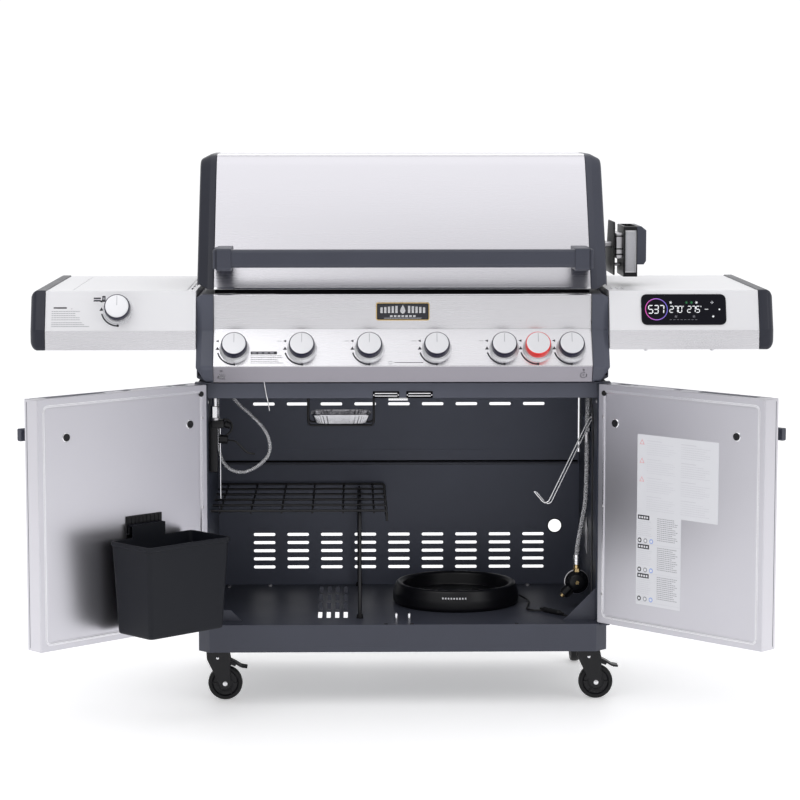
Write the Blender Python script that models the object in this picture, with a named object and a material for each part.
"""Six-burner gas barbecue grill on a cabinet trolley, with its doors open.

Metres, +Z up. X runs along the width, Y from the front to the back, Z up from the floor.
Depths are counted from the front edge of the side shelves; the empty "grill" then moves the
whole assembly so that its box is centred on the origin.
"""

import math

import bmesh
import bpy
from mathutils import Matrix, Vector

# ---------------------------------------------------------------- driving dimensions
DEPTH_CENTRE = 0.0899
GAP = 0.0004
SHEET = 0.0015

HALF_WIDTH = 0.795
BODY_HALF = 0.442
PANEL_HALF = 0.4045
SHELF_TOP = 0.896
SHELF_BACK = 0.520
CAP_WIDTH = 0.032

FLOOR_TOP = 0.178
PAN_BOTTOM = 0.118
PAN_FRONT = -0.042
CABINET_BACK = 0.4435
WALL_INNER = 0.4195
WALL_TOP = 0.6985

PANEL_TOP = 0.8885
BAND_TOP = (0.0, 0.814)
BAND_BOTTOM = (-0.045, 0.738)
PANEL_LIP = (-0.028, 0.7025)

LID_BOTTOM = 0.899
LID_FRONT = 0.015
LID_TOP = 1.185
LID_HINGE = (0.470, 0.930)

DOOR_AXIS_X = 0.439
DOOR_AXIS_Y = -0.030
DOOR_WIDTH = 0.4365
DOOR_HALF_THICK = 0.0225
DOOR_BOTTOM = 0.1815
DOOR_TOP = 0.6995
LEFT_DOOR_OPEN = math.radians(137.0)
RIGHT_DOOR_OPEN = math.radians(133.7)
HANDLE_END = 0.4190
HANGER = (0.120, 0.215)
HANGER_LIFT = 0.3930
BIN = (0.050, 0.270, 0.0375, 0.1675)
BIN_BOTTOM = 0.202
BIN_TOP = 0.395

KNOB_RADIUS = 0.0275
KNOB_PLACES = (-0.360, -0.216, -0.072, 0.072, 0.216, 0.288, 0.360)
REAR_BURNER_KNOB = 5
BURNER_PLACES = (-0.360, -0.216, -0.072, 0.072, 0.216, 0.360)
SHELF_KNOB_X = -0.608

WHEEL_RADIUS = 0.0375
CASTER_TRAIL = 0.018
BRAKE_PIVOT = (0.024, 0.084)
CASTERS = {
    "front_left": (-0.405, 0.030, 0.0),
    "front_right": (0.405, 0.030, 0.0),
    "rear_left": (-0.410, 0.400, 90.0),
    "rear_right": (0.410, 0.400, 90.0),
}

SCALE_PLACE = (0.124, 0.225)
SCALE_RADIUS = 0.1415

GRILL = None


# ---------------------------------------------------------------- scene and finishes
def clear_scene():
    for old in list(bpy.data.objects):
        bpy.data.objects.remove(old, do_unlink=True)


def finish(name, colour, roughness, metallic):
    made = bpy.data.materials.new(name)
    made.use_nodes = True
    shader = made.node_tree.nodes["Principled BSDF"]
    shader.inputs["Base Color"].default_value = (*colour, 1.0)
    shader.inputs["Roughness"].default_value = roughness
    shader.inputs["Metallic"].default_value = metallic
    made.diffuse_color = (*colour, 1.0)
    return made


def make_finishes():
    return {
        "steel": finish("stainless_steel", (0.62, 0.61, 0.63), 0.28, 1.0),
        "white": finish("silver_paint", (0.86, 0.86, 0.88), 0.35, 0.2),
        "charcoal": finish("charcoal_paint", (0.070, 0.073, 0.090), 0.42, 0.1),
        "dark": finish("dark_interior_paint", (0.022, 0.024, 0.030), 0.45, 0.1),
        "black": finish("black_plastic", (0.012, 0.012, 0.014), 0.40, 0.0),
        "bin": finish("bin_plastic", (0.025, 0.026, 0.031), 0.50, 0.0),
        "iron": finish("black_enamel", (0.015, 0.015, 0.016), 0.35, 0.0),
        "brass": finish("brass", (0.70, 0.52, 0.25), 0.30, 1.0),
        "foil": finish("foil", (0.75, 0.75, 0.77), 0.25, 1.0),
        "navy": finish("knob_navy", (0.030, 0.030, 0.070), 0.35, 0.1),
        "red": finish("knob_red", (0.850, 0.035, 0.025), 0.35, 0.1),
        "rubber": finish("rubber", (0.010, 0.010, 0.010), 0.60, 0.0),
        "hose": finish("hose", (0.60, 0.60, 0.63), 0.35, 0.6),
    }


# ---------------------------------------------------------------- solids
def from_bmesh(bm):
    bmesh.ops.recalc_face_normals(bm, faces=bm.faces)
    mesh = bpy.data.meshes.new("solid")
    bm.to_mesh(mesh)
    bm.free()
    made = bpy.data.objects.new("solid", mesh)
    bpy.context.scene.collection.objects.link(made)
    return made


def loft(rings):
    """Skins a row of rings of equal length and closes both ends."""
    bm = bmesh.new()
    rows = [[bm.verts.new(point) for point in ring] for ring in rings]
    count = len(rows[0])
    for low, high in zip(rows, rows[1:]):
        for i in range(count):
            j = (i + 1) % count
            bm.faces.new((low[i], low[j], high[j], high[i]))
    bm.faces.new(rows[0])
    bm.faces.new(rows[-1])
    return from_bmesh(bm)


def prism(axis, outline, start, end):
    """Extrudes an outline along an axis; the outline holds the two other coordinates in order."""
    along = "XYZ".index(axis)
    rings = []
    for position in (start, end):
        ring = []
        for pair in outline:
            point = list(pair)
            point.insert(along, position)
            ring.append(point)
        rings.append(ring)
    return loft(rings)


def box(low, high):
    x0, y0, z0 = low
    x1, y1, z1 = high
    return prism("Z", [(x0, y0), (x1, y0), (x1, y1), (x0, y1)], z0, z1)


def circle(centre, radius, sides, turn=0.0):
    step = 2 * math.pi / sides
    return [
        (centre[0] + radius * math.cos(turn + i * step), centre[1] + radius * math.sin(turn + i * step))
        for i in range(sides)
    ]


def disc(axis, centre, radius, start, end, sides=16):
    return prism(axis, circle(centre, radius, sides, math.pi / sides), start, end)


def sweep(points, radius, sides=6):
    """A wire of constant radius through the points, with mitred corners."""
    path = [Vector(point) for point in points]
    tangents = []
    for i in range(len(path)):
        before = path[max(i - 1, 0)]
        after = path[min(i + 1, len(path) - 1)]
        here = path[i]
        inward = (here - before).normalized() if i else (after - here).normalized()
        outward = (after - here).normalized() if i < len(path) - 1 else inward
        tangents.append((inward, outward))
    first = tangents[0][1]
    side = first.orthogonal().normalized()
    rings = []
    for here, (inward, outward) in zip(path, tangents):
        middle = (inward + outward).normalized()
        side = (side - inward * side.dot(inward)).normalized()
        up = inward.cross(side)
        ring = []
        for i in range(sides):
            angle = 2 * math.pi * (i + 0.5) / sides
            spoke = (side * math.cos(angle) + up * math.sin(angle)) * radius
            slide = spoke.dot(middle) / inward.dot(middle)
            ring.append(here + spoke - inward * slide)
        rings.append(ring)
        side = (rings[-1][0] - here) - outward * (rings[-1][0] - here).dot(outward)
        turned = math.pi / sides
        side = Matrix.Rotation(-turned, 3, outward) @ side.normalized()
    return loft(rings)


def rod(start, end, radius, sides=10):
    return sweep([start, end], radius, sides)


def turned(profile, place, axis, sides=32):
    """Turns a closed profile of (radius, height) pairs whose two ends lie on the axis."""
    frame = Vector(axis).normalized().to_track_quat("Z", "Y").to_matrix().to_4x4()
    frame.translation = Vector(place)
    bm = bmesh.new()
    poles = [bm.verts.new(frame @ Vector((0, 0, profile[i][1]))) for i in (0, -1)]
    rows = []
    for radius, height in profile[1:-1]:
        ring = [frame @ Vector((x, y, height)) for x, y in circle((0, 0), radius, sides)]
        rows.append([bm.verts.new(point) for point in ring])
    for i in range(sides):
        j = (i + 1) % sides
        bm.faces.new((poles[0], rows[0][j], rows[0][i]))
        bm.faces.new((poles[1], rows[-1][i], rows[-1][j]))
        for low, high in zip(rows, rows[1:]):
            bm.faces.new((low[i], low[j], high[j], high[i]))
    return from_bmesh(bm)


def hoop(profile, place, axis, sides=32):
    """Turns a closed profile that stays clear of the axis, so the solid has a bore."""
    frame = Vector(axis).normalized().to_track_quat("Z", "Y").to_matrix().to_4x4()
    frame.translation = Vector(place)
    bm = bmesh.new()
    rows = []
    for radius, height in profile:
        ring = [frame @ Vector((x, y, height)) for x, y in circle((0, 0), radius, sides)]
        rows.append([bm.verts.new(point) for point in ring])
    for low, high in zip(rows, rows[1:] + rows[:1]):
        for i in range(sides):
            j = (i + 1) % sides
            bm.faces.new((low[i], low[j], high[j], high[i]))
    return from_bmesh(bm)


def folded(axis, line, thickness, start, end):
    """Sheet metal folded along a line; the thickness lies on the line's left-hand side."""
    points = [Vector(point) for point in line]
    inner = []
    for i, here in enumerate(points):
        before = (here - points[i - 1]).normalized() if i else None
        after = (points[i + 1] - here).normalized() if i < len(points) - 1 else None
        before = before or after
        after = after or before
        left_before = Vector((-before.y, before.x))
        left_after = Vector((-after.y, after.x))
        middle = (left_before + left_after).normalized()
        inner.append(here + middle * (thickness / middle.dot(left_before)))
    outline = [tuple(point) for point in points + inner[::-1]]
    return prism(axis, outline, start, end)


def inset(outline, distance):
    """Moves a convex, anticlockwise outline inwards."""
    points = [Vector(point) for point in outline]
    result = []
    for i, here in enumerate(points):
        before = (here - points[i - 1]).normalized()
        after = (points[(i + 1) % len(points)] - here).normalized()
        left_before = Vector((-before.y, before.x))
        left_after = Vector((-after.y, after.x))
        middle = (left_before + left_after).normalized()
        result.append(tuple(here + middle * (distance / middle.dot(left_before))))
    return result


def rounded(x0, x1, y0, y1, radius, steps=3):
    """The outline of a rectangle with round corners, anticlockwise."""
    corners = ((x1, y0, -90), (x1, y1, 0), (x0, y1, 90), (x0, y0, 180))
    outline = []
    for x, y, start in corners:
        cx = x - math.copysign(radius, x - (x0 + x1) / 2)
        cy = y - math.copysign(radius, y - (y0 + y1) / 2)
        for i in range(steps + 1):
            angle = math.radians(start + 90 * i / steps)
            outline.append((cx + radius * math.cos(angle), cy + radius * math.sin(angle)))
    return outline


def slot(x, z, length, height):
    """The outline of a slot about its middle, anticlockwise."""
    half = length / 2
    tall = height / 2
    return [(x - half, z - tall), (x + half, z - tall), (x + half, z + tall), (x - half, z + tall)]


def joined(pieces):
    """Separate cutters kept together as one cutter."""
    bm = bmesh.new()
    for piece in pieces:
        bm.from_mesh(piece.data)
        bpy.data.objects.remove(piece, do_unlink=True)
    return from_bmesh(bm)


def moved(piece, matrix):
    piece.data.transform(matrix)
    if matrix.determinant() < 0:
        piece.data.flip_normals()
    return piece


def combined(adds, cuts=()):
    """Unites the added solids and takes the cutters away."""
    base = adds[0]
    tools = [(tool, "UNION") for tool in adds[1:]] + [(tool, "DIFFERENCE") for tool in cuts]
    for tool, operation in tools:
        modifier = base.modifiers.new(operation.lower(), "BOOLEAN")
        modifier.operation = operation
        modifier.solver = "EXACT"
        modifier.object = tool
    bpy.context.view_layer.update()
    graph = bpy.context.evaluated_depsgraph_get()
    bm = bmesh.new()
    bm.from_mesh(base.evaluated_get(graph).to_mesh())
    for tool, _ in tools:
        bpy.data.objects.remove(tool, do_unlink=True)
    bpy.data.objects.remove(base, do_unlink=True)
    bmesh.ops.remove_doubles(bm, verts=bm.verts, dist=2e-6)
    bmesh.ops.dissolve_limit(bm, angle_limit=math.radians(0.05), verts=bm.verts, edges=bm.edges)
    bmesh.ops.triangulate(bm, faces=bm.faces)
    return from_bmesh(bm)


def make(name, material, adds, cuts=(), pivot=(0.0, 0.0, 0.0), turn=0.0):
    """Combines the solids into a named piece.

    The origin goes to pivot, and the piece is then turned about its vertical axis.
    """
    made = combined(adds, cuts)
    made.name = name
    mesh = made.data
    mesh.name = name
    mesh.transform(Matrix.Translation(-Vector(pivot)))
    mesh.materials.append(material)
    mesh.shade_smooth()
    mesh.set_sharp_from_angle(angle=math.radians(30))
    made.parent = GRILL
    made.location = pivot
    made.rotation_euler.z = turn
    return made


def smooth_route(points, spacing):
    """Points read at an even spacing from a smooth curve through the given points."""
    path = [Vector(point) for point in points]
    path = [path[0] * 2 - path[1]] + path + [path[-1] * 2 - path[-2]]
    dense = []
    for a, b, c, d in zip(path, path[1:], path[2:], path[3:]):
        for i in range(24):
            t = i / 24
            dense.append(
                (b * 2 + (c - a) * t + (a * 2 - b * 5 + c * 4 - d) * t**2
                 + (b * 3 - a - c * 3 + d) * t**3) / 2
            )
    dense.append(path[-2])
    lengths = [0.0]
    for a, b in zip(dense, dense[1:]):
        lengths.append(lengths[-1] + (b - a).length)
    count = round(lengths[-1] / spacing)
    even = []
    i = 0
    for k in range(count + 1):
        wanted = lengths[-1] * k / count
        while i < len(lengths) - 2 and lengths[i + 1] < wanted:
            i += 1
        part = (wanted - lengths[i]) / (lengths[i + 1] - lengths[i])
        even.append(dense[i].lerp(dense[i + 1], part))
    return even


def cord(name, material, points, radius, spacing):
    """A cord: a round tube along a smooth route."""
    route = smooth_route(points, spacing)
    curve = bpy.data.curves.new(name, "CURVE")
    curve.dimensions = "3D"
    curve.bevel_depth = radius
    curve.bevel_resolution = 2
    curve.use_fill_caps = True
    spline = curve.splines.new("POLY")
    spline.points.add(len(route) - 1)
    for point, place in zip(spline.points, route):
        point.co = (*place, 1.0)
    curve.materials.append(material)
    made = bpy.data.objects.new(name, curve)
    bpy.context.scene.collection.objects.link(made)
    made.parent = GRILL
    return made


# ---------------------------------------------------------------- cabinet
def bottom_panel(looks):
    side = BODY_HALF - 0.0005
    chamfer = 0.024
    plan = [
        (side, PAN_FRONT + chamfer),
        (side, CABINET_BACK),
        (-side, CABINET_BACK),
        (-side, PAN_FRONT + chamfer),
        (-side + chamfer, PAN_FRONT),
        (side - chamfer, PAN_FRONT),
    ]
    adds = [prism("Z", plan, PAN_BOTTOM, FLOOR_TOP)]
    cuts = [prism("Z", inset(plan, 0.002), PAN_BOTTOM - 0.01, FLOOR_TOP - 0.002)]
    vents = []
    for column in range(4):
        for row in range(4):
            x = -0.180 + 0.0187 * column
            y = 0.075 + 0.100 * row
            outline = [(b, a) for a, b in slot(y, x, 0.075, 0.009)][::-1]
            vents.append(prism("Z", outline, 0.170, 0.185))
    cuts.append(joined(vents))
    pan = combined(adds, cuts)
    extras = []
    for x, y, _ in CASTERS.values():
        inner = math.copysign(abs(x) - 0.036, x)
        outer = math.copysign(side - 0.001, x)
        low, high = sorted((inner, outer))
        extras.append(box((low, y - 0.036, PAN_BOTTOM), (high, y + 0.036, PAN_BOTTOM + 0.0035)))
        rib = math.copysign(0.002, x)
        low, high = sorted((inner, inner + rib))
        extras.append(box((low, y - 0.034, PAN_BOTTOM + 0.001), (high, y + 0.034, FLOOR_TOP - 0.001)))
    for hand in (-1, 1):
        corner = hand * (WALL_INNER - 0.0005)
        size = 0.072
        top = size if hand > 0 else 0.0255
        outline = [(corner, FLOOR_TOP - 0.001), (corner - hand * size, FLOOR_TOP - 0.001)]
        outline += [(corner - hand * (size - top), FLOOR_TOP + top), (corner, FLOOR_TOP + top)]
        if hand > 0:
            outline.pop()
        extras.append(prism("Y", outline, -0.0035, -0.0020))
        extras.append(disc("Z", (hand * 0.014, 0.0015), 0.003, FLOOR_TOP - 0.001, 0.194, 10))
        ear_x = hand * DOOR_AXIS_X
        ear = [
            (ear_x - 0.012, DOOR_AXIS_Y - 0.009),
            (ear_x + 0.012, DOOR_AXIS_Y - 0.009),
            (ear_x + 0.012, 0.005),
            (ear_x - 0.012, 0.005),
        ]
        extras.append(prism("Z", [(min(max(x, -side), side), y) for x, y in ear], 0.1745, 0.1775))
        extras.append(disc("Z", (ear_x, DOOR_AXIS_Y), 0.009, 0.1740, 0.1782, 14))
        extras.append(disc("Z", (ear_x, DOOR_AXIS_Y), 0.003, 0.1750, 0.192, 10))
    holes = [
        disc("Z", (x, y), 0.0056, PAN_BOTTOM - 0.01, PAN_BOTTOM + 0.01, 12)
        for x, y, _ in CASTERS.values()
    ]
    return make("bottom_panel", looks["charcoal"], [pan] + extras, [joined(holes)])


def side_panel(looks, hand):
    """A double-skinned wall, open at its top and bottom."""
    inner = hand * WALL_INNER
    outer = hand * (BODY_HALF - 0.0005)
    x0, x1 = sorted((inner, outer))
    y0 = -0.005
    y1 = 0.4405
    adds = [box((x0, y0, FLOOR_TOP + GAP), (x1, y1, WALL_TOP))]
    wall = 0.0012
    cuts = [box((x0 + wall, y0 + wall, 0.1), (x1 - wall, y1 - wall, 0.8))]
    if hand > 0:
        hook = [
            (inner + 0.0005, 0.100, 0.612),
            (inner - 0.006, 0.100, 0.606),
            (0.3265, 0.100, 0.424),
            (0.319, 0.100, 0.420),
            (0.312, 0.100, 0.425),
            (0.294, 0.100, 0.446),
        ]
        adds.append(sweep(hook, 0.0030, 8))
    name = "right_side_panel" if hand > 0 else "left_side_panel"
    return make(name, looks["dark"], adds, cuts)


SLOT_COLUMNS = 9
SLOT_PITCH = 0.0784


def slot_row(z):
    first = -SLOT_PITCH * (SLOT_COLUMNS - 1) / 2
    return [
        prism("Y", slot(first + SLOT_PITCH * i, z, 0.050, 0.0070), 0.43, 0.45)
        for i in range(SLOT_COLUMNS)
    ]


def back_panels(looks):
    low = box((-0.4415, 0.4413, FLOOR_TOP + GAP), (0.4415, 0.4428, 0.4895))
    cutters = [cutter for row in range(5) for cutter in slot_row(0.2198 + 0.0192 * row)]
    cutters.append(disc("Y", (0.364, 0.316), 0.0155, 0.43, 0.45, 20))
    make("back_panel_lower", looks["dark"], [low], [joined(cutters)])
    high = box((-0.4115, 0.4413, 0.4900), (0.4115, 0.4428, 0.6540))
    flange = box((-0.4115, 0.4270, 0.6525), (0.4115, 0.4420, 0.6540))
    make("back_panel_upper", looks["dark"], [high, flange], [joined(slot_row(0.603))])


def front_top_rail(looks):
    line = [(0.018, 0.6985), (-0.0035, 0.6985), (-0.0035, 0.6650), (0.018, 0.6650)]
    adds = [folded("X", line, SHEET, -0.4190, 0.4190)]
    for hand in (-1, 1):
        middle = hand * 0.036
        adds.append(box((middle - 0.027, -0.0060, 0.6745), (middle + 0.027, 0.006, 0.6855)))
        ear = hand * DOOR_AXIS_X
        low, high = sorted((hand * 0.4100, ear + hand * 0.006))
        adds.append(box((low, DOOR_AXIS_Y - 0.007, 0.7002), (high, -0.0040, 0.7020)))
        low, high = sorted((hand * 0.4060, hand * 0.4180))
        adds.append(box((low, -0.0065, 0.6970), (high, -0.0030, 0.7020)))
        adds.append(disc("Z", (ear, DOOR_AXIS_Y), 0.003, 0.6890, 0.7010, 10))
    adds.append(box((-0.031, -0.0045, 0.6600), (0.011, 0.004, 0.6660)))
    return make("front_top_rail", looks["charcoal"], adds)


# ---------------------------------------------------------------- firebox
TUB = [
    (0.0605, 0.8865),
    (0.0605, 0.775),
    (0.150, 0.692),
    (0.350, 0.692),
    (0.452, 0.775),
    (0.452, 0.8865),
]
DRAIN = (-0.1335, 0.200)
CORD_HOLE = (0.0400, 0.8415)


def firebox(looks):
    """The tub over the burners, with the lid's hinge ears, the tray's rails and the cup's cradle."""
    adds = [folded("X", TUB[:3], 0.002, -0.4030, 0.4030)]
    adds.append(folded("X", TUB[3:] + [(0.490, 0.8865)], 0.002, -0.4030, 0.4030))
    for hand in (-1, 1):
        low, high = sorted((hand * 0.4015, hand * 0.4035))
        adds.append(prism("X", TUB, low, high))
        low, high = sorted((hand * 0.3920, hand * 0.3980))
        ear = [(0.456, 0.880), (0.484, 0.880), (0.484, 0.930)]
        ear += [(0.470 + 0.014 * math.cos(a), 0.930 + 0.014 * math.sin(a))
                for a in (math.radians(45), math.radians(90), math.radians(135))]
        ear += [(0.456, 0.930)]
        adds.append(prism("X", ear, low, high))
        low, high = sorted((hand * 0.3930, hand * 0.4245))
        adds.append(disc("X", LID_HINGE, 0.004, low, high, 12))
        low, high = sorted((hand * 0.4003, hand * 0.4022))
        adds.append(box((low, 0.1000, 0.6555), (high, 0.4300, 0.7100)))
        low, high = sorted((hand * 0.3840, hand * 0.4015))
        adds.append(box((low, 0.1000, 0.6555), (high, 0.4300, 0.6575)))
    adds.append(box((-0.3850, 0.155, 0.6555), (0.3850, 0.245, 0.6575)))
    for y in (0.168, 0.232):
        cradle = [(-0.2065, y, 0.6560), (-0.2065, y, 0.5865), (-0.0605, y, 0.5865), (-0.0605, y, 0.6560)]
        adds.append(sweep(cradle, 0.0020, 6))
    venturis = [disc("Y", (x, 0.800), 0.0135, 0.05, 0.08, 12) for x in BURNER_PLACES]
    drain = disc("Z", DRAIN, 0.016, 0.64, 0.67, 14)
    return make("firebox", looks["charcoal"], adds, [joined(venturis + [drain])])


def cord_hole(hand):
    """The way through the firebox end and the shelf's end wall for a hose or a lead."""
    low, high = sorted((hand * 0.4300, hand * 0.4500))
    return disc("X", CORD_HOLE, 0.0110, low, high, 12)


def firebox_end(looks, hand):
    """The dark end casting: a shell that is open towards the firebox."""
    outline = [
        (-0.012, 0.8885),
        (-0.012, 0.812),
        (-0.052, 0.736),
        (-0.036, 0.7035),
        (0.470, 0.7035),
        (0.490, 0.730),
        (0.490, 0.8885),
    ]
    low, high = sorted((hand * 0.4052, hand * BODY_HALF))
    adds = [prism("X", outline, low, high)]
    core = inset(outline, 0.003)
    low, high = sorted((hand * 0.4000, hand * (BODY_HALF - 0.003)))
    cuts = [prism("X", core, low, high)]
    taper = [(hand * 0.4600, 0.690), (hand * 0.4120, 0.690), (hand * 0.4420, 0.7350), (hand * 0.4600, 0.7350)]
    cuts.append(prism("Y", taper, -0.1, -0.0065))
    cuts.append(cord_hole(hand))
    name = "firebox_end_right" if hand > 0 else "firebox_end_left"
    return make(name, looks["charcoal"], [combined(adds, cuts[:1])], cuts[1:])


def band_frame():
    """The middle of the knob band and its outward direction, in (y, z)."""
    top = Vector(BAND_TOP)
    bottom = Vector(BAND_BOTTOM)
    down = (bottom - top).normalized()
    outward = Vector((down.y, -down.x))
    middle = top.lerp(bottom, 0.535)
    return middle, outward


def control_panel(looks):
    line = [(0.0575, PANEL_TOP), (0.003, PANEL_TOP), (0.0, PANEL_TOP - 0.003), BAND_TOP, BAND_BOTTOM]
    line += [PANEL_LIP, (-0.0080, PANEL_LIP[1])]
    panel = folded("X", line, SHEET, -PANEL_HALF, PANEL_HALF)
    middle, outward = band_frame()
    holes = []
    for x in KNOB_PLACES:
        start = middle - outward * 0.02
        end = middle + outward * 0.02
        holes.append(rod((x, *start), (x, *end), 0.0055, 12))
    return make("control_panel", looks["steel"], [panel], [joined(holes)])


def gas_manifold(looks):
    middle, outward = band_frame()
    pipe = middle - outward * 0.0628
    adds = [rod((-0.3930, *pipe), (0.3930, *pipe), 0.0100, 10)]
    for x in KNOB_PLACES:
        adds.append(rod((x, *(pipe + outward * 0.004)), (x, *(pipe + outward * 0.044)), 0.0095, 8))
        adds.append(rod((x, *(pipe + outward * 0.040)), (x, *(pipe + outward * 0.0780)), 0.0040, 8))
    for x in BURNER_PLACES:
        valve = pipe + outward * 0.022
        adds.append(rod((x, *valve), (x, 0.0400, 0.7950), 0.0035, 6))
    return make("gas_manifold", looks["brass"], adds)


def main_burners(looks):
    adds = [box((-0.372, 0.4250, 0.7950), (0.372, 0.4350, 0.8050))]
    cuts = []
    for x in BURNER_PLACES:
        adds.append(disc("Y", (x, 0.800), 0.0125, 0.0440, 0.4400, 8))
        cuts.append(disc("Y", (x, 0.800), 0.0100, 0.0400, 0.4240, 8))
    return make("main_burners", looks["steel"], adds, [joined(cuts)])


def heat_plates(looks):
    adds = []
    for y in (0.0900, 0.4200):
        adds.append(box((-0.3980, y - 0.004, 0.8245), (0.3980, y + 0.004, 0.8275)))
    for x in BURNER_PLACES:
        line = [(x - 0.040, 0.8240), (x, 0.8440), (x + 0.040, 0.8240)]
        adds.append(folded("Y", line, -0.0015, 0.0700, 0.4420))
    return make("heat_plates", looks["steel"], adds)


def cooking_grate(looks):
    plate = box((-0.3990, 0.0650, 0.8620), (0.3990, 0.4490, 0.8720))
    bars = 20
    pitch = 0.7900 / bars
    cutters = []
    for i in range(bars):
        x = -0.3950 + pitch * (i + 0.5)
        for y0, y1 in ((0.0730, 0.2520), (0.2620, 0.4410)):
            cutters.append(box((x - 0.0150, y0, 0.85), (x + 0.0150, y1, 0.88)))
    feet = [box((x - 0.004, y, 0.8470), (x + 0.004, y + 0.005, 0.8630))
            for x in (-0.288, 0.0, 0.288) for y in (0.066, 0.443)]
    return make("cooking_grate", looks["iron"], [plate] + feet, [joined(cutters)])


def rear_burner(looks):
    adds = [box((-0.285, 0.4300, 0.8950), (0.285, 0.4480, 0.9650))]
    for x in (-0.25, 0.25):
        adds.append(box((x - 0.015, 0.4400, 0.8889), (x + 0.015, 0.4750, 0.8970)))
    windows = []
    for i in range(6):
        x = -0.2325 + 0.093 * i
        windows.append(box((x - 0.042, 0.4200, 0.9040), (x + 0.042, 0.4330, 0.9560)))
    return make("rear_burner", looks["steel"], adds, [joined(windows)])


# ---------------------------------------------------------------- lid
def lid_outline():
    """The outside of the lid from its front lower edge to its rear lower edge, in (y, z)."""
    start = Vector((LID_FRONT, LID_BOTTOM))
    bulge = Vector((0.0915, 1.0400))
    shoulder = Vector((0.1760, 1.1600))
    front = []
    for i in range(6):
        t = i / 5
        front.append(start.lerp(bulge, t).lerp(bulge.lerp(shoulder, t), t))
    brow = [(0.1870, 1.1760), (0.2010, 1.1840), (0.2180, LID_TOP)]
    back = [(0.3950, LID_TOP), (0.4150, 1.1790), (0.4280, 1.1600), (0.4960, 0.9500), (0.5000, 0.9200)]
    return [tuple(point) for point in front] + brow + back


def lid_shell(looks):
    line = lid_outline()
    adds = [folded("X", line, -SHEET, -PANEL_HALF, PANEL_HALF)]
    notches = []
    for hand in (-1, 1):
        low, high = sorted((hand * 0.3860, hand * 0.4200))
        notches.append(box((low, 0.4500, 0.8900), (high, 0.5200, 0.9640)))
    return make("lid_shell", looks["steel"], adds, [joined(notches)], (0.0, *LID_HINGE))


def lid_cap(looks, hand):
    """A pressed end cap, open underneath, with the hole for the hinge pin in its inner wall."""
    outline = lid_outline()
    inner_x = hand * (PANEL_HALF + 0.0008)
    outer_x = hand * BODY_HALF
    low, high = sorted((inner_x, outer_x))
    adds = [prism("X", outline, low, high)]
    bm = bmesh.new()
    bm.from_mesh(adds[0].data)
    rim = [
        edge for edge in bm.edges
        if all(abs(vert.co.x - outer_x) < 1e-5 for vert in edge.verts)
        and any(vert.co.z > 0.93 for vert in edge.verts)
    ]
    bmesh.ops.bevel(bm, geom=rim, offset=0.010, segments=2, profile=0.5, affect="EDGES")
    bm.to_mesh(adds[0].data)
    bm.free()
    floor = outline[-1][1]
    closed = outline + [(outline[-1][0], LID_BOTTOM - 0.02), (LID_FRONT - 0.01, LID_BOTTOM - 0.02)]
    core = inset(closed[::-1], 0.0125)[::-1]
    core = [(y, z if z > floor + 0.001 else 0.86) for y, z in core]
    low, high = sorted((inner_x + hand * 0.0025, outer_x - hand * 0.0035))
    cuts = [prism("X", core, low, high)]
    low, high = sorted((hand * 0.39, inner_x + hand * 0.010))
    cuts.append(disc("X", LID_HINGE, 0.0046, low, high, 16))
    name = "lid_cap_right" if hand > 0 else "lid_cap_left"
    return make(name, looks["charcoal"], adds, cuts, (0.0, *LID_HINGE))


def lid_handle(looks):
    """A stout bar across the lid with a bracket at each end."""
    centre = (-0.048, 0.968)
    bar = [
        (centre[0] + 0.016 * math.cos(a), centre[1] + 0.019 * math.sin(a))
        for a in [math.radians(30 * i + 15) for i in range(12)]
    ]
    adds = [prism("X", bar, -0.3720, 0.3720)]
    for hand in (-1, 1):
        low, high = sorted((hand * 0.3650, hand * 0.4030))
        bracket = [
            (-0.066, 0.955),
            (-0.062, 0.946),
            (-0.050, 0.943),
            (0.0380, 0.9420),
            (0.0620, 0.9835),
            (0.040, 0.9900),
            (-0.050, 0.9900),
            (-0.062, 0.986),
            (-0.066, 0.977),
        ]
        adds.append(prism("X", bracket, low, high))
    skin = lid_outline()
    clear = [(y - 0.0004, z + 0.0003) for y, z in skin[:7]] + [(0.3, 1.17), (0.3, LID_BOTTOM)]
    cuts = [prism("X", clear, -0.5, 0.5)]
    return make("lid_handle", looks["charcoal"], adds, cuts, (0.0, *LID_HINGE))


# ---------------------------------------------------------------- side shelves
SHELF_SECTION = [
    (0.0, SHELF_TOP),
    (-0.030, 0.814),
    (-0.030, 0.773),
]
SIDE_LID = (-0.7095, -0.4615, 0.034, 0.474)


def shelf_shell(hand):
    line = [(0.500, 0.790), (SHELF_BACK, 0.790), (SHELF_BACK, SHELF_TOP)] + SHELF_SECTION
    line += [(-0.012, 0.773)]
    low, high = sorted((hand * (BODY_HALF + 0.0005), hand * (HALF_WIDTH - CAP_WIDTH - GAP)))
    adds = [folded("X", line, SHEET, low, high)]
    ends = [(SHELF_BACK, 0.790), (SHELF_BACK, SHELF_TOP)] + SHELF_SECTION
    for edge in (BODY_HALF + 0.0005, HALF_WIDTH - CAP_WIDTH - GAP - SHEET):
        low, high = sorted((hand * edge, hand * (edge + SHEET)))
        adds.append(prism("X", ends, low, high))
    return adds


def fascia_frame():
    """A point on the fascia under the shelf knob and the outward direction, in (y, z)."""
    top = Vector(SHELF_SECTION[0])
    bottom = Vector(SHELF_SECTION[1])
    down = (bottom - top).normalized()
    return top.lerp(bottom, 0.477), Vector((down.y, -down.x))


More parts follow.
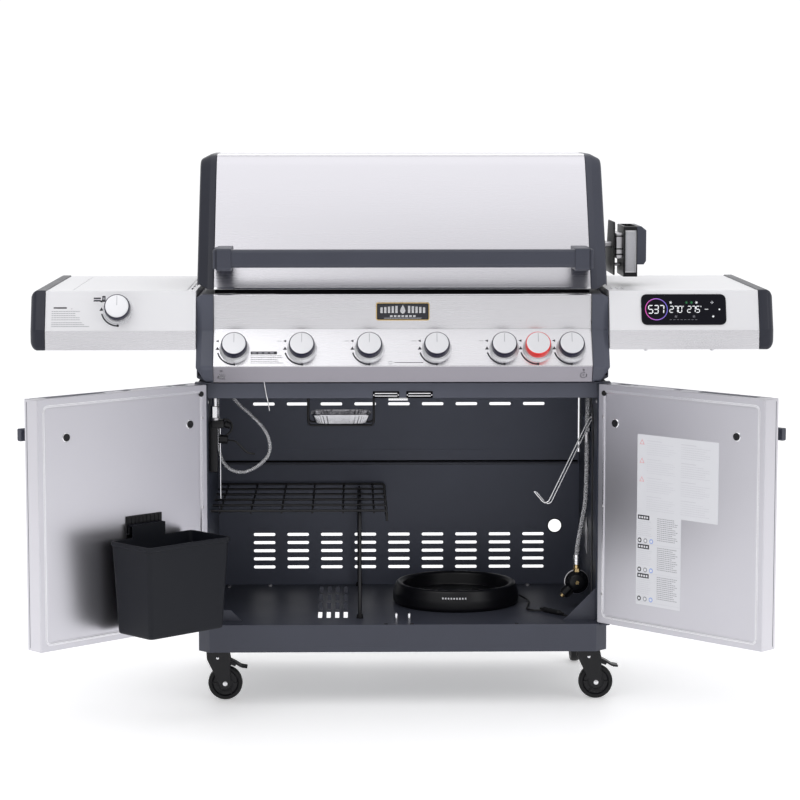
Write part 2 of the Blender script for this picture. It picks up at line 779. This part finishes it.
def left_shelf(looks):
    x0, x1, y0, y1 = SIDE_LID
    adds = shelf_shell(-1)
    bowl = box((x0 + 0.008, y0 + 0.008, 0.8450), (x1 - 0.008, y1 - 0.008, 0.8810))
    place, outward = fascia_frame()
    hollow = box((x0 + 0.0095, y0 + 0.0095, 0.8465), (x1 - 0.0095, y1 - 0.0095, 0.92))
    opening = box((x0, y0, 0.8900), (x1, y1, 0.92))
    stem = rod(
        (SHELF_KNOB_X, *(place - outward * 0.02)),
        (SHELF_KNOB_X, *(place + outward * 0.02)),
        0.0055,
        12,
    )
    riser = disc("Z", (-0.5855, 0.250), 0.014, 0.83, 0.86, 14)
    seat = box((x0 - 0.004, y0 - 0.004, 0.8800), (x1 + 0.004, y1 + 0.004, SHELF_TOP - 0.0005))
    seat_core = box((x0 + 0.0085, y0 + 0.0085, 0.87), (x1 - 0.0085, y1 - 0.0085, 0.90))
    ledge = box((x0 - 0.002, y0 - 0.002, 0.8815), (x1 + 0.002, y1 + 0.002, 0.91))
    rim = combined([seat], [seat_core, ledge])
    tray = combined([bowl], [hollow])
    vents = joined([box((-0.4560, y, 0.88), (-0.4520, y + 0.055, 0.90)) for y in (0.05, 0.13, 0.21)])
    shell = combined(adds, [opening, stem, vents, cord_hole(-1)])
    return make("left_shelf", looks["white"], [shell, rim, tray], [riser])


def right_shelf(looks):
    adds = shelf_shell(1)
    cuts = [box((0.4520 + 0.012 * i, 0.050, 0.88), (0.4560 + 0.012 * i, 0.100, 0.90)) for i in range(3)]
    return make("right_shelf", looks["white"], adds, [joined(cuts), cord_hole(1)])


def shelf_cap(looks, hand):
    outline = [(0.5215, 0.771), (0.5215, 0.898), (-0.0015, 0.898), (-0.0325, 0.8145), (-0.0325, 0.771)]
    inner_x = hand * (HALF_WIDTH - CAP_WIDTH)
    outer_x = hand * HALF_WIDTH
    low, high = sorted((inner_x, outer_x))
    cap = prism("X", outline, low, high)
    bm = bmesh.new()
    bm.from_mesh(cap.data)
    rim = [edge for edge in bm.edges if all(abs(vert.co.x - outer_x) < 1e-5 for vert in edge.verts)]
    bmesh.ops.bevel(bm, geom=rim, offset=0.010, segments=3, profile=0.5, affect="EDGES")
    bm.to_mesh(cap.data)
    bm.free()
    low, high = sorted((inner_x - hand * 0.01, outer_x - hand * 0.012))
    core = prism("X", inset(outline, 0.004), low, high)
    name = "right_shelf_cap" if hand > 0 else "left_shelf_cap"
    return make(name, looks["charcoal"], [cap], [core])


def control_display(looks):
    """The touch display: a dark pane with round corners, fixed flat on the fascia."""
    top = Vector(SHELF_SECTION[0])
    bottom = Vector(SHELF_SECTION[1])
    down = (bottom - top).normalized()
    outward = Vector((down.y, -down.x))
    middle = top.lerp(bottom, 0.49)
    outline = rounded(-0.0905, 0.0905, -0.0335, 0.0335, 0.013, 4)
    rings = []
    for height, shrink in ((0.0004, 1.0), (0.0022, 1.0), (0.0030, 0.985)):
        ring = []
        for x, v in outline:
            place = middle - down * (v * shrink) + outward * height
            ring.append((0.6015 + x * shrink, place.x, place.y))
        rings.append(ring)
    return make("control_display", looks["black"], [loft(rings)])


def side_burner(looks):
    """Brass burner head, its gas tube and valve, and the wire trivet that stands over it."""
    place, outward = fascia_frame()
    x = SHELF_KNOB_X
    head_x = -0.5855
    adds = [rod((x, *(place - outward * 0.040)), (x, *(place - outward * 0.006)), 0.0090, 10)]
    adds.append(rod((x, *(place - outward * 0.010)), (x, *(place + outward * 0.0150)), 0.0040, 10))
    valve = place - outward * 0.034
    tube = [
        (x, *valve),
        (x, 0.0380, 0.8340),
        (head_x, 0.160, 0.8330),
        (head_x, 0.250, 0.8330),
        (head_x, 0.250, 0.8560),
    ]
    adds.append(sweep(tube, 0.0060, 8))
    adds.append(rod((x, 0.0100, 0.8480), (x + 0.0220, 0.0100, 0.8480), 0.0050, 8))
    head = [(0, 0.8500), (0.020, 0.8500), (0.046, 0.8580), (0.046, 0.8670), (0.030, 0.8720), (0, 0.8720)]
    adds.append(turned(head, (head_x, 0.250, 0.0), (0, 0, 1), 24))
    for angle in (45, 135):
        reach = 0.098
        dx = reach * math.cos(math.radians(angle))
        dy = reach * math.sin(math.radians(angle))
        trivet = [
            (head_x - dx, 0.250 - dy, 0.8470),
            (head_x - dx, 0.250 - dy, 0.8755),
            (head_x + dx, 0.250 + dy, 0.8755),
            (head_x + dx, 0.250 + dy, 0.8470),
        ]
        adds.append(sweep(trivet, 0.0035, 6))
    adds.append(rod((head_x, 0.250, 0.8700), (head_x, 0.250, 0.8760), 0.0080, 8))
    return make("side_burner", looks["brass"], adds)


def side_burner_lid(looks):
    x0, x1, y0, y1 = SIDE_LID
    clear = 0.0008
    plate = box((x0 + clear, y0 + clear, 0.8825), (x1 - clear, y1 - clear, 0.8965))
    core = box((x0 + 0.0025, y0 + 0.0025, 0.87), (x1 - 0.0025, y1 - 0.0025, 0.8953))
    return make("side_burner_lid", looks["white"], [plate], [core], (0.0, y1 - 0.003, 0.8965))


# ---------------------------------------------------------------- rotisserie drive
SPINDLE = (0.200, 0.985)


def rotisserie_bracket(looks):
    outline = [
        (0.145, 0.920),
        (0.145, 1.037),
        (0.275, 1.037),
        (0.300, 0.985),
        (0.541, 0.985),
        (0.541, 0.800),
        (0.524, 0.800),
        (0.524, 0.920),
    ]
    adds = [prism("X", outline, 0.4665, 0.4695)]
    adds.append(box((0.4120, 0.5240, 0.8000), (0.4690, 0.5270, 0.8700)))
    adds.append(disc("Y", (0.4240, 0.8350), 0.009, 0.4904, 0.5250, 12))
    hole = disc("X", SPINDLE, 0.0085, 0.46, 0.48, 16)
    return make("rotisserie_bracket", looks["white"], adds, [hole])


def rotisserie_motor(looks):
    body = [(0.135, 0.921), (0.265, 0.921), (0.265, 1.024), (0.135, 1.024)]
    adds = [prism("X", body, 0.4905, 0.5225)]
    y0, y1, z0, z1 = 0.131, 0.269, 0.917, 1.028
    face = [(y0, z0), (y1, z0), (y1, z1), (y0, z1)]
    rings = []
    for x, shrink in ((0.5215, 0.0), (0.5400, 0.0), (0.5460, 0.012)):
        rings.append([(x, y, z) for y, z in inset(face, shrink)])
    adds.append(loft(rings))
    adds.append(rod((0.4699, 0.200, 0.941), (0.492, 0.200, 0.941), 0.0035, 10))
    return make("rotisserie_motor", looks["white"], adds)


def rotisserie_spindle(looks):
    adds = [disc("X", SPINDLE, 0.0065, 0.4520, 0.4900, 6)]
    adds.append(disc("X", SPINDLE, 0.0120, 0.4780, 0.4860, 6))
    y, z = SPINDLE
    cut = box((0.4450, y - 0.003, z - 0.003), (0.4700, y + 0.003, z + 0.003))
    return make("rotisserie_spindle", looks["steel"], adds, [cut], (0.0, *SPINDLE))


# ---------------------------------------------------------------- inside the cabinet
WIRE = 0.0028


def wire_shelf(looks):
    z = 0.417
    x0, x1 = -0.4160, -0.0340
    y0, y1 = 0.0230, 0.4300
    long_wires = 6
    adds = []
    for i in range(long_wires):
        y = y0 + (y1 - y0) * i / (long_wires - 1)
        adds.append(rod((x0, y, z), (x1 + 0.002, y, z), WIRE, 5))
    for i in range(8):
        x = x0 + 0.008 + (x1 - x0 - 0.010) * i / 7
        adds.append(rod((x, y0 - 0.001, z - 0.0040), (x, y1 + 0.001, z - 0.0040), WIRE, 5))
    leg_x = -0.0930
    for y in (y0 + 0.009, y1 - 0.009):
        adds.append(rod((leg_x, y, FLOOR_TOP + GAP), (leg_x, y, z - 0.0045), 0.0042, 8))
    adds.append(rod((leg_x, y0 - 0.001, z - 0.0060), (leg_x, y1 + 0.001, z - 0.0060), WIRE, 6))
    return make("wire_shelf", looks["iron"], adds)


def tank_scale(looks):
    bottom = FLOOR_TOP + GAP
    profile = [
        (0, 0.1960),
        (0.116, 0.1960),
        (0.119, 0.2210),
        (0.124, 0.2250),
        (0.130, 0.2255),
        (0.1345, 0.2220),
        (SCALE_RADIUS, 0.2020),
        (SCALE_RADIUS, 0.1840),
        (0.1370, bottom),
        (0, bottom),
    ]
    return make("tank_scale", looks["black"], [turned(profile[::-1], (*SCALE_PLACE, 0), (0, 0, 1), 32)])


REGULATOR = (0.3900, 0.1400, 0.2380)


def regulator(looks):
    """The regulator body, a round housing with its hose socket on top and its cylinder nut below."""
    x, y, z = REGULATOR
    housing = [(0, -0.014), (0.018, -0.014), (0.026, -0.006), (0.026, 0.004), (0.016, 0.016), (0, 0.016)]
    adds = [turned(housing, REGULATOR, (0, -1, 0), 20)]
    adds.append(rod((x, y, z + 0.018), (x, y, z + 0.0380), 0.0075, 8))
    adds.append(rod((x - 0.012, y, z - 0.012), (x - 0.030, y, z - 0.030), 0.0110, 8))
    return make("regulator", looks["black"], adds)


def hoses(looks):
    x, y, z = REGULATOR
    middle, outward = band_frame()
    pipe = middle - outward * 0.0628
    end = pipe.y - 0.0110
    supply = [
        (x, y, z + 0.0384),
        (x, y, z + 0.0600),
        (0.3930, 0.1420, 0.3250),
        (0.4010, 0.1450, 0.3700),
        (0.4090, 0.1480, 0.4200),
        (0.4115, 0.1490, 0.5000),
        (0.4110, 0.1430, 0.5800),
        (0.4100, 0.1200, 0.6320),
        (0.4060, 0.0840, 0.6600),
        (0.3960, 0.0500, 0.6860),
        (0.3860, 0.0330, 0.7120),
        (0.3840, pipe.x, end),
    ]
    cord("regulator_hose", looks["hose"], supply, 0.0055, 0.026)
    burner = [
        (-0.3840, pipe.x, end),
        (-0.3830, 0.0330, 0.7050),
        (-0.3740, 0.0480, 0.6720),
        (-0.3560, 0.0780, 0.6440),
        (-0.3300, 0.0950, 0.6180),
        (-0.3060, 0.1000, 0.5920),
        (-0.2930, 0.1000, 0.5680),
        (-0.2890, 0.1000, 0.5450),
        (-0.2960, 0.1000, 0.5240),
        (-0.3190, 0.1000, 0.5030),
        (-0.3475, 0.1000, 0.4910),
        (-0.3760, 0.1020, 0.4970),
        (-0.3960, 0.1080, 0.5200),
        (-0.4040, 0.1150, 0.5600),
        (-0.4060, 0.1050, 0.6050),
        (-0.4030, 0.0800, 0.6450),
        (-0.3990, 0.0580, 0.6850),
        (-0.3980, 0.0500, 0.7250),
        (-0.3990, 0.0480, 0.7700),
        (-0.4060, 0.0450, 0.8080),
        (-0.4220, 0.0420, 0.8330),
        (-0.4420, 0.0395, 0.8420),
        (-0.4700, 0.0330, 0.8440),
        (-0.5100, 0.0230, 0.8460),
        (-0.5500, 0.0140, 0.8475),
        (-0.5700, 0.0105, 0.8480),
        (SHELF_KNOB_X + 0.0225, 0.0100, 0.8480),
    ]
    cord("side_burner_hose", looks["hose"], burner, 0.0040, 0.024)


def scale_lead(looks):
    floor = FLOOR_TOP + 0.0024
    x = SCALE_PLACE[0] + SCALE_RADIUS
    route = [
        (x + 0.0006, 0.2450, 0.1890),
        (x + 0.0080, 0.2455, 0.1855),
        (0.2860, 0.2300, floor),
        (0.2880, 0.1950, floor),
        (0.2810, 0.1500, floor),
        (0.2800, 0.1180, floor),
        (0.2920, 0.1030, floor),
        (0.3141, 0.0980, floor),
        (0.3457, 0.0560, floor),
        (0.3760, 0.0320, floor),
        (0.4000, 0.0290, floor + 0.0010),
        (0.4110, 0.0300, 0.1950),
        (0.4130, 0.0300, 0.2300),
        (0.4130, 0.0300, 0.3500),
        (0.4130, 0.0300, 0.5000),
        (0.4130, 0.0300, 0.6150),
        (0.4080, 0.0290, 0.6600),
        (0.4010, 0.0295, 0.7000),
        (0.3990, 0.0300, 0.7400),
        (0.3995, 0.0330, 0.7900),
        (0.4080, 0.0370, 0.8250),
        (0.4250, 0.0395, 0.8400),
        (0.4420, 0.0400, 0.8420),
        (0.4800, 0.0360, 0.8400),
        (0.5300, 0.0260, 0.8430),
        (0.5700, 0.0130, 0.8490),
        (0.5880, 0.0010, 0.8530),
        (0.5950, -0.0095, 0.8545),
    ]
    cord("scale_lead", looks["rubber"], route, 0.0020, 0.024)


def grease_parts(looks):
    tray = box((-0.3900, 0.0950, 0.6580), (0.3900, 0.4250, 0.6880))
    core = box((-0.3885, 0.0965, 0.6595), (0.3885, 0.4235, 0.70))
    drain = disc("Z", DRAIN, 0.009, 0.65, 0.67, 12)
    grip = box((-0.050, 0.4240, 0.6700), (0.050, 0.4400, 0.6720))
    make("grease_tray", looks["steel"], [combined([tray], [core, drain]), grip])
    x, y = DRAIN
    rings = []
    for half_x, half_y, z in (
        (0.0540, 0.0400, 0.5895),
        (0.0620, 0.0480, 0.6260),
        (0.0670, 0.0530, 0.6260),
        (0.0670, 0.0530, 0.6275),
        (0.0605, 0.0465, 0.6275),
        (0.0528, 0.0388, 0.5905),
    ):
        outline = rounded(x - half_x, x + half_x, y - half_y, y + half_y, 0.012, 3)
        rings.append([(px, py, z) for px, py in outline])
    make("grease_cup", looks["foil"], [loft(rings)])


# ---------------------------------------------------------------- doors
def door(looks, hand):
    """A hollow double-skinned door, drawn closed about its hinge axis and turned open."""
    u0, u1 = -0.006, DOOR_WIDTH
    n = DOOR_HALF_THICK
    flip = Matrix.Scale(-1, 4, (1, 0, 0)) if hand > 0 else Matrix.Identity(4)
    adds = [box((u0, -n, DOOR_BOTTOM), (u1, n, DOOR_TOP))]
    core = box((u0 + 0.0012, -n + 0.0012, DOOR_BOTTOM + 0.0012), (u1 - 0.0012, n - 0.0040, DOOR_TOP - 0.0012))
    pins = disc("Z", (0, 0), 0.0036, 0.15, 0.75, 12)
    panel = rounded(0.016, DOOR_WIDTH - 0.016, DOOR_BOTTOM + 0.017, DOOR_TOP - 0.017, 0.012, 3)
    pocket = prism("Y", panel, n - 0.0025, n + 0.01)
    extras = []
    if hand < 0:
        low, high = HANGER
        z = HANGER_LIFT
        extras.append(box((low, n - 0.0035, z), (high, n + 0.0015, z + 0.0460)))
        extras.append(box((low, n + 0.0010, z + 0.0080), (high, 0.0325, z + 0.0105)))
        extras.append(box((low, 0.0305, z + 0.0090), (high, 0.0325, z + 0.0230)))
    for solid in adds + [core, pins, pocket] + extras:
        moved(solid, flip)
    shell = combined(adds, [core, pins, pocket])
    name = "right_door" if hand > 0 else "left_door"
    made = make(name, looks["steel"], [shell] + extras)
    return hang(made, hand)


def hang(made, hand):
    """Puts a door part, drawn about the hinge axis, on its hinge at the resting angle."""
    made.location = (hand * DOOR_AXIS_X, DOOR_AXIS_Y, 0.0)
    made.rotation_euler.z = RIGHT_DOOR_OPEN if hand > 0 else -LEFT_DOOR_OPEN
    return made


def door_handle(looks, hand):
    n = DOOR_HALF_THICK
    flip = Matrix.Scale(-1, 4, (1, 0, 0)) if hand > 0 else Matrix.Identity(4)
    bar = rounded(-n - 0.050, -n - 0.036, 0.607, 0.633, 0.004, 2)
    adds = [prism("X", bar, 0.0220, HANDLE_END)]
    for u in (0.0450, HANDLE_END - 0.0270):
        adds.append(box((u - 0.010, -n - 0.040, 0.610), (u + 0.010, -n - 0.0004, 0.630)))
    for solid in adds:
        moved(solid, flip)
    name = "right_door_handle" if hand > 0 else "left_door_handle"
    return hang(make(name, looks["charcoal"], adds), hand)


def trash_bin(looks):
    u0, u1, n0, n1 = BIN
    low, high = BIN_BOTTOM, BIN_TOP
    rings = []
    for z, shrink in (
        (low, 0.012),
        (high - 0.007, 0.002),
        (high - 0.0068, 0.0),
        (high, 0.0),
        (high, 0.0045),
        (low + 0.0025, 0.0145),
    ):
        outline = rounded(u0 + shrink, u1 - shrink, n0 + shrink * 0.6, n1 - shrink, 0.022, 4)
        rings.append([(u, n, z) for u, n in outline])
    adds = [loft(rings)]
    clip0, clip1 = HANGER[0] + 0.004, HANGER[1] - 0.004
    top = HANGER_LIFT + 0.0285
    adds.append(box((clip0, n0 + 0.0004, high - 0.0130), (clip1, n0 + 0.0030, top)))
    adds.append(box((clip0, 0.0262, top - 0.0025), (clip1, n0 + 0.0030, top)))
    adds.append(box((clip0, 0.0262, top - 0.0150), (clip1, 0.0282, top - 0.0005)))
    return hang(make("trash_bin", looks["bin"], adds), -1)


# ---------------------------------------------------------------- knobs
def knob(looks, name, x, place, outward, material):
    """A turned knob with a bore for the valve stem; its origin lies on its axis."""
    profile = [
        (0, 0.0200),
        (0.0046, 0.0200),
        (0.0046, 0.0006),
        (0.0240, 0.0006),
        (KNOB_RADIUS, 0.0030),
        (KNOB_RADIUS, 0.0090),
        (0.0250, 0.0110),
        (0.0240, 0.0275),
        (0.0215, 0.0300),
        (0, 0.0300),
    ]
    pivot = (x, place.x, place.y)
    body = turned(profile, pivot, (0.0, outward.x, outward.y), 14)
    return make(name, looks[material], [body], (), pivot)


def knobs(looks):
    middle, outward = band_frame()
    for i, x in enumerate(KNOB_PLACES):
        material = "red" if i == REAR_BURNER_KNOB else "navy"
        knob(looks, f"burner_knob_{i + 1}", x, middle, outward, material)
    place, outward = fascia_frame()
    knob(looks, "side_burner_knob", SHELF_KNOB_X, place, outward, "navy")


# ---------------------------------------------------------------- casters
def caster(looks, name):
    x, y, turn = CASTERS[name]
    top = PAN_BOTTOM - GAP
    z = WHEEL_RADIUS
    cheek = [
        (-0.020, top - 0.004),
        (-0.020, top - 0.016),
        (CASTER_TRAIL - 0.010, z - 0.008),
        (CASTER_TRAIL, z - 0.012),
        (CASTER_TRAIL + 0.010, z - 0.008),
        (0.026, top - 0.016),
        (0.026, top - 0.004),
    ]
    adds = [turned([(0, top - 0.008), (0.024, top - 0.008), (0.027, top - 0.004), (0.027, top), (0, top)],
                   (0, 0, 0), (0, 0, 1), 12)]
    adds.append(disc("Z", (0, 0), 0.0050, top - 0.001, top + 0.0100, 8))
    adds.append(box((-0.020, -0.0165, top - 0.0100), (0.026, 0.0165, top - 0.006)))
    for hand in (-1, 1):
        low, high = sorted((hand * 0.0140, hand * 0.0165))
        adds.append(prism("Y", cheek, low, high))
    adds.append(disc("Y", (CASTER_TRAIL, z), 0.0040, -0.0185, 0.0185, 8))
    fork = make(f"caster_fork_{name}", looks["black"], adds)
    place_caster(fork, (0.0, 0.0), x, y, turn)
    tread = [
        (0.0046, -0.0115),
        (0.0160, -0.0115),
        (0.0190, -0.0090),
        (0.0340, -0.0105),
        (WHEEL_RADIUS, -0.0060),
        (WHEEL_RADIUS, 0.0060),
        (0.0340, 0.0105),
        (0.0190, 0.0090),
        (0.0160, 0.0115),
        (0.0046, 0.0115),
    ]
    wheel = make(f"caster_wheel_{name}", looks["rubber"], [hoop(tread, (0, 0, 0), (0, 1, 0), 16)])
    place_caster(wheel, (CASTER_TRAIL, z), x, y, turn)
    if turn:
        return
    lever = [
        (0.0190, 0.0790),
        (0.0300, 0.0780),
        (0.0400, 0.0745),
        (0.0500, 0.0680),
        (0.0640, 0.0660),
        (0.0680, 0.0700),
        (0.0660, 0.0740),
        (0.0500, 0.0780),
        (0.0400, 0.0850),
        (0.0190, 0.0890),
    ]
    pivot = (BRAKE_PIVOT[0], 0.0, BRAKE_PIVOT[1])
    pedal = make(f"caster_brake_{name}", looks["black"], [prism("Y", lever, -0.0130, 0.0130)], (), pivot)
    place_caster(pedal, BRAKE_PIVOT, x, y, turn)


def place_caster(made, offset, x, y, turn):
    """Turns a caster part, drawn about the swivel axis, and puts it under its corner."""
    angle = math.radians(turn)
    made.location = (x + offset[0] * math.cos(angle), y + offset[0] * math.sin(angle), offset[1])
    made.rotation_euler.z = angle


def main():
    global GRILL
    clear_scene()
    looks = make_finishes()
    GRILL = bpy.data.objects.new("grill", None)
    bpy.context.scene.collection.objects.link(GRILL)
    GRILL.location = (0.0, -DEPTH_CENTRE, 0.0)
    bottom_panel(looks)
    back_panels(looks)
    front_top_rail(looks)
    firebox(looks)
    control_panel(looks)
    gas_manifold(looks)
    main_burners(looks)
    heat_plates(looks)
    cooking_grate(looks)
    rear_burner(looks)
    lid_shell(looks)
    lid_handle(looks)
    left_shelf(looks)
    right_shelf(looks)
    control_display(looks)
    side_burner(looks)
    side_burner_lid(looks)
    rotisserie_bracket(looks)
    rotisserie_motor(looks)
    rotisserie_spindle(looks)
    wire_shelf(looks)
    tank_scale(looks)
    regulator(looks)
    hoses(looks)
    scale_lead(looks)
    grease_parts(looks)
    trash_bin(looks)
    knobs(looks)
    for hand in (-1, 1):
        side_panel(looks, hand)
        firebox_end(looks, hand)
        lid_cap(looks, hand)
        shelf_cap(looks, hand)
        door(looks, hand)
        door_handle(looks, hand)
    for name in CASTERS:
        caster(looks, name)


main()
